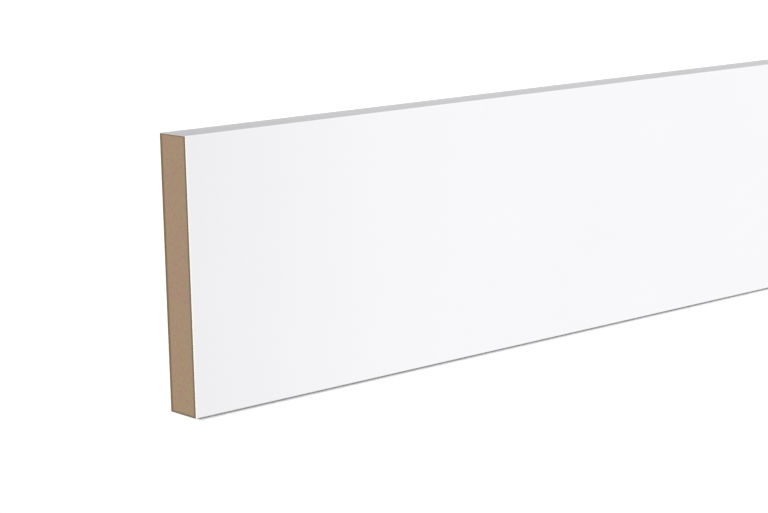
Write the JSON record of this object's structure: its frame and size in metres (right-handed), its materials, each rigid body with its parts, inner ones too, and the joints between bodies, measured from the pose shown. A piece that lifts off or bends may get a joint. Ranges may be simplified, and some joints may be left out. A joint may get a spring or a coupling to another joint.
{
  "type": "skirting board length",
  "caption": "Straight square-edge skirting board of primed MDF with eased long edges, sawn square at both ends.",
  "frame": {"origin": "middle of the back face, on the surface that the board lies on", "axes": "+X along the length, to the right as one faces the board on a wall; +Y towards the edge that is uppermost on a wall; +Z out of the front face"},
  "size_m": [2.4, 0.12, 0.018],
  "materials": {
    "primed_mdf": "matte"
  },
  "bodies": {
    "root": {"skirting_board": "primed_mdf"}
  },
  "joints": []
}
